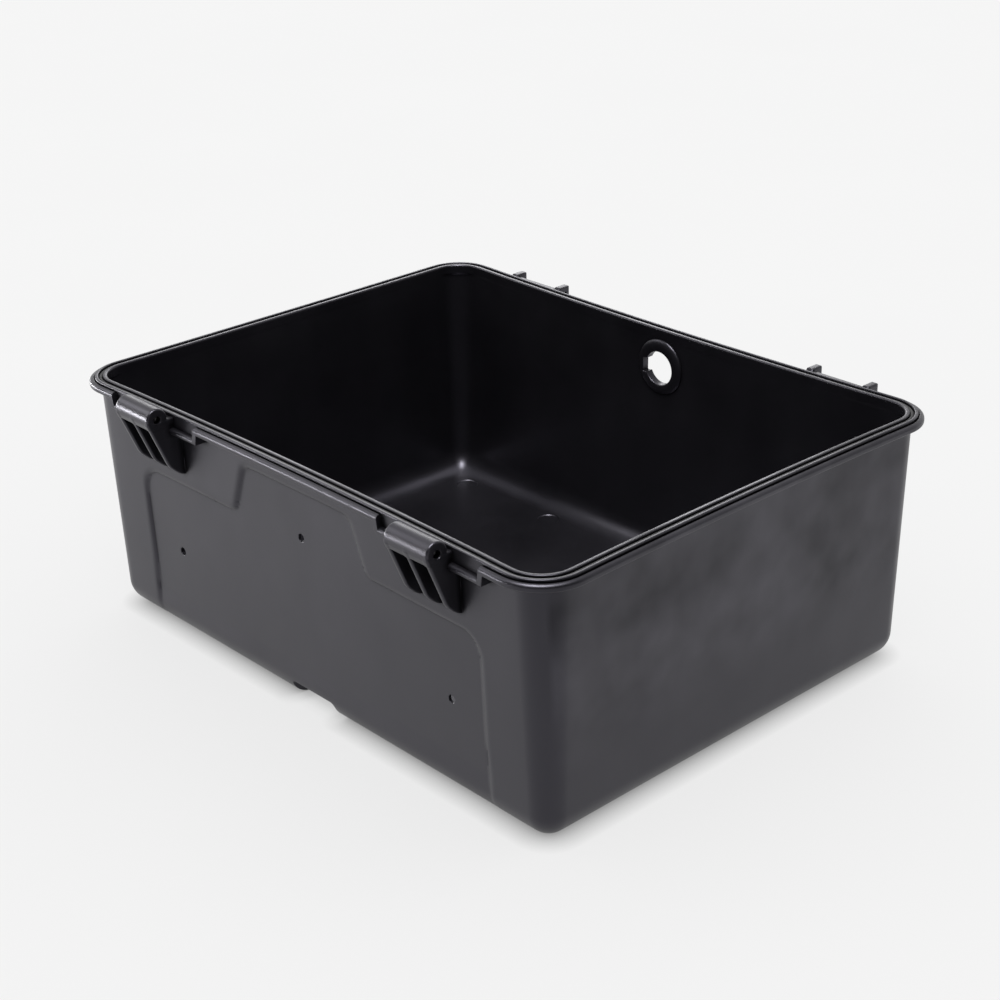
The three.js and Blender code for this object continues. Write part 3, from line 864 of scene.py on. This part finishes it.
# ------------------------------------------------------------ materials (lengths in metres)
def moulded_plastic():
    """Near-black plastic with uneven gloss and a fine grain, painted shade in inner corners and
    painted reflection patches on the right end wall.
    """
    mat, nodes, shader = new_material("moulded_black")
    tone = nodes.noise(scale=9.0, detail=3.0)
    speck = nodes.noise(scale=900.0)
    base = nodes.mix(nodes.remap(tone, to=(0.0, 1.0)),
                     (0.0024, 0.0023, 0.0029), (0.0034, 0.0032, 0.0040))
    base = nodes.mix(nodes.remap(speck, to=(0.0, 0.35), span=(0.55, 0.85)),
                     base, (0.0065, 0.0063, 0.0072))

    mean_roughness = 0.365
    patch = nodes.remap(nodes.noise(scale=13.0, detail=3.0, rough=0.55), to=(-0.045, 0.045))
    flow = nodes.remap(nodes.noise(scale=30.0, stretch=(1.0, 1.0, 0.18)), to=(-0.02, 0.02))
    fine = nodes.remap(nodes.noise(scale=1400.0, detail=1.0), to=(-0.03, 0.03))
    rough = nodes.math("ADD", nodes.math("ADD", patch, flow),
                       nodes.math("ADD", fine, mean_roughness))
    wavy = nodes.bump(nodes.noise(scale=11.0, detail=1.5, rough=0.45), distance=0.0011)

    # the right end wall is a little wavy above its foot; the same noise paints reflection patches
    # there by raising and lowering its shine
    noise_mean = 0.45
    axis = nodes.add("SeparateXYZ", {0: nodes.coords})
    end = nodes.remap(axis.outputs["X"], to=(0.0, 1.0), span=(0.2480, 0.2505))
    low = nodes.remap(axis.outputs["Z"], to=(0.0, 1.0), span=(0.05, 0.10))
    centred = nodes.math("SUBTRACT", nodes.noise(scale=18.0, detail=2.5), noise_mean)
    waviness_and_sheen = nodes.math("MULTIPLY", centred, nodes.math("MULTIPLY", end, low))

    # painted shade: the shine is cut down in inner corners of steps, ribs and grooves, where an
    # occlusion test finds nearby surfaces
    crease_shade_power, sheen_gain, mean_specular = 2.8, 0.9, 0.5
    shade = nodes.math("POWER", nodes.occlusion(samples=8, distance=0.005), crease_shade_power)
    specular = nodes.math("ADD", nodes.math("MULTIPLY", waviness_and_sheen, sheen_gain), mean_specular)
    # the painted crease shade scales the shine here
    specular = nodes.math("MULTIPLY", specular, shade)

    wavy = nodes.bump(waviness_and_sheen, distance=0.0012, normal=wavy)
    sink = nodes.bump(nodes.noise(scale=34.0, detail=1.0, rough=0.4), distance=0.00012,
                      normal=wavy)
    grain = nodes.bump(nodes.noise(scale=1900.0, rough=0.6), distance=0.000022, normal=sink)
    nodes.plug(shader, {"Base Color": base, "Roughness": rough, "IOR": 1.55,
                        "Specular Tint": (0.88, 0.85, 1.0, 1.0),
                        "Specular IOR Level": specular, "Normal": grain})
    return mat


def rubber():
    mat, nodes, shader = new_material("seal_rubber")
    mean_roughness = 0.72
    tone = nodes.noise(scale=60.0, detail=3.0)
    base = nodes.mix(nodes.remap(tone, to=(0.0, 1.0)),
                     (0.006, 0.006, 0.0065), (0.010, 0.010, 0.0105))
    vary = nodes.remap(nodes.noise(scale=420.0), to=(-0.05, 0.05))
    nodes.plug(shader, {"Base Color": base,
                        "Roughness": nodes.math("ADD", vary, mean_roughness),
                        "Normal": nodes.bump(nodes.noise(scale=2200.0), distance=0.00003)})
    return mat


def steel():
    """Dark steel with fine lines along the pin."""
    mat, nodes, shader = new_material("blackened_steel")
    mean_roughness = 0.33
    tone = nodes.noise(scale=160.0, detail=3.0, stretch=(0.15, 1.0, 1.0))
    base = nodes.mix(nodes.remap(tone, to=(0.0, 1.0)),
                     (0.050, 0.050, 0.052), (0.085, 0.084, 0.086))
    lines = nodes.noise(scale=2600.0, stretch=(0.03, 1.0, 1.0))
    vary = nodes.remap(lines, to=(-0.06, 0.06))
    nodes.plug(shader, {"Metallic": 1.0, "Base Color": base,
                        "Roughness": nodes.math("ADD", vary, mean_roughness),
                        "Normal": nodes.bump(lines, distance=0.00002), "Anisotropic": 0.35})
    return mat


def pale_floor():
    """Even grey with a glow, and a painted contact shadow under the tub where the glow fades."""
    mat, nodes, shader = new_material("pale_floor", "AddShader")
    shadow_power, glow_strength = 0.5, 0.738
    color = nodes.mix(nodes.remap(nodes.noise(scale=3.0), to=(0.0, 1.0)),
                      (0.158, 0.158, 0.158), (0.163, 0.163, 0.163))
    # painted contact shadow: the glow is dimmed where an occlusion test finds the tub close by
    near = nodes.math("POWER", nodes.occlusion(samples=16, distance=0.016), shadow_power)
    glow = nodes.math("MULTIPLY", near, glow_strength)
    diffuse = nodes.add("BsdfDiffuse", {"Color": color})
    emission = nodes.add("Emission", {"Color": (1.0, 1.0, 1.0, 1.0), "Strength": glow})
    nodes.plug(shader, {0: diffuse.outputs[0], 1: emission.outputs[0]})
    return mat


PLASTIC, RUBBER, STEEL = moulded_plastic(), rubber(), steel()
for obj, mat in ((tub, PLASTIC), (seal, RUBBER), (pins["left"], STEEL), (pins["right"], STEEL)):
    obj.data.materials.clear()
    obj.data.materials.append(mat)

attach(tub, "tub")
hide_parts("tub_shell")
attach(seal, "tub")
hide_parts("rim_seal")
for side, obj in pins.items():
    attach(obj, side + "_pin")
    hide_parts("hinge_pin_" + side)

# ------------------------------------------------------------ floor and world (metres)
bpy.ops.mesh.primitive_grid_add(x_subdivisions=24, y_subdivisions=24, size=16.0,
                                location=(0, 0, -0.0004))
floor = bpy.context.object
floor.name = "floor"
floor.data.materials.append(pale_floor())


def facing(nodes, direction, span, to):
    """Brightness that changes over a span of cosines as the view turns to a direction."""
    dot = nodes.add("VectorMath", {1: Vector(direction).normalized(), 0: nodes.coords},
                    operation="DOT_PRODUCT")
    return nodes.remap(dot.outputs["Value"], to=to, span=span, interpolation_type="SMOOTHSTEP")


def build_world():
    """A white sweep behind and to the left, a dim room on the camera's side."""
    world = bpy.data.worlds.new("studio")
    bpy.context.scene.world = world
    world.use_nodes = True
    nodes = Nodes(world.node_tree)
    nodes.coords = nodes.add("TexCoord").outputs["Generated"]
    sweep = facing(nodes, (-0.55, 0.80, 0.08), span=(-0.25, 0.75), to=(0.03, 1.15))
    high = facing(nodes, (0.0, 0.0, 1.0), span=(0.35, 0.95), to=(1.0, 0.35))
    nodes.plug(nodes.tree.nodes["Background"],
               {"Strength": nodes.math("MULTIPLY", sweep, high), "Color": (1.0, 1.0, 1.0, 1.0)})


build_world()


# ------------------------------------------------------------ lights
def softbox(name, place, target, width, height, power):
    light = bpy.data.lights.new(name, "AREA")
    light.shape = "RECTANGLE"
    light.size, light.size_y, light.energy = width, height, power
    obj = bpy.data.objects.new(name, light)
    obj.location = place
    obj.rotation_mode = "QUATERNION"
    obj.rotation_quaternion = (Vector(target) - Vector(place)).to_track_quat("-Z", "Y")
    bpy.context.scene.collection.objects.link(obj)
    return obj


# name, place, target, width, height, power in watts
SOFTBOXES = (
    ("key_left", (-1.75, -1.1, 0.11), (0, 0, 0.11), 2.2, 0.2, 46),
    ("fill_left", (-1.55, -0.97, 1.45), (0, 0, 0.15), 1.3, 0.9, 10),
    ("back_left", (-1.5, 1.37, 0.95), (0, 0.1, 0.19), 1.2, 0.5, 9),
    ("overhead", (0.3, -0.45, 2.1), (0, 0, 0.1), 1.0, 1.0, 92),
)
boxes = [softbox(*entry) for entry in SOFTBOXES]
sun_data = bpy.data.lights.new("floor_light", "SUN")
sun_data.energy = 2.55
sun_data.angle = math.radians(150)
sun = bpy.data.objects.new("floor_light", sun_data)
bpy.context.scene.collection.objects.link(sun)

# the soft boxes light only the object and the broad sun only the floor, which stays even
lit_object = bpy.data.collections.new("lit_object")
lit_floor = bpy.data.collections.new("lit_floor")
for obj in (tub, seal, pins["left"], pins["right"]):
    lit_object.objects.link(obj)
lit_floor.objects.link(floor)
for box in boxes:
    box.light_linking.receiver_collection = lit_object
sun.light_linking.receiver_collection = lit_floor


# ------------------------------------------------------------ camera
def build_camera(place, yaw, pitch, roll):
    """Camera turned left from +Y by yaw, tipped down by pitch and rolled (radians)."""
    data = bpy.data.cameras.new("camera")
    camera = bpy.data.objects.new("camera", data)
    bpy.context.scene.collection.objects.link(camera)
    data.sensor_width = 36.0
    data.lens = 70.164
    data.clip_start, data.clip_end = 0.05, 60.0
    view = Vector((-math.sin(yaw) * math.cos(pitch), math.cos(yaw) * math.cos(pitch),
                   -math.sin(pitch)))
    level = Vector((math.cos(yaw), math.sin(yaw), 0.0))
    upright = level.cross(view)
    right = math.cos(roll) * level + math.sin(roll) * upright
    up = -math.sin(roll) * level + math.cos(roll) * upright
    rows = [(right[i], up[i], -view[i], place[i]) for i in range(3)]
    camera.matrix_world = Matrix(rows + [(0, 0, 0, 1)])
    bpy.context.scene.camera = camera


build_camera(place=(1.012188, -0.913178, 0.743013), yaw=math.radians(47.78),
             pitch=math.radians(24.95), roll=math.radians(-1.364))
bpy.context.scene.view_settings.view_transform = "Standard"
bpy.context.scene.view_settings.look = "None"

bpy.context.view_layer.update()
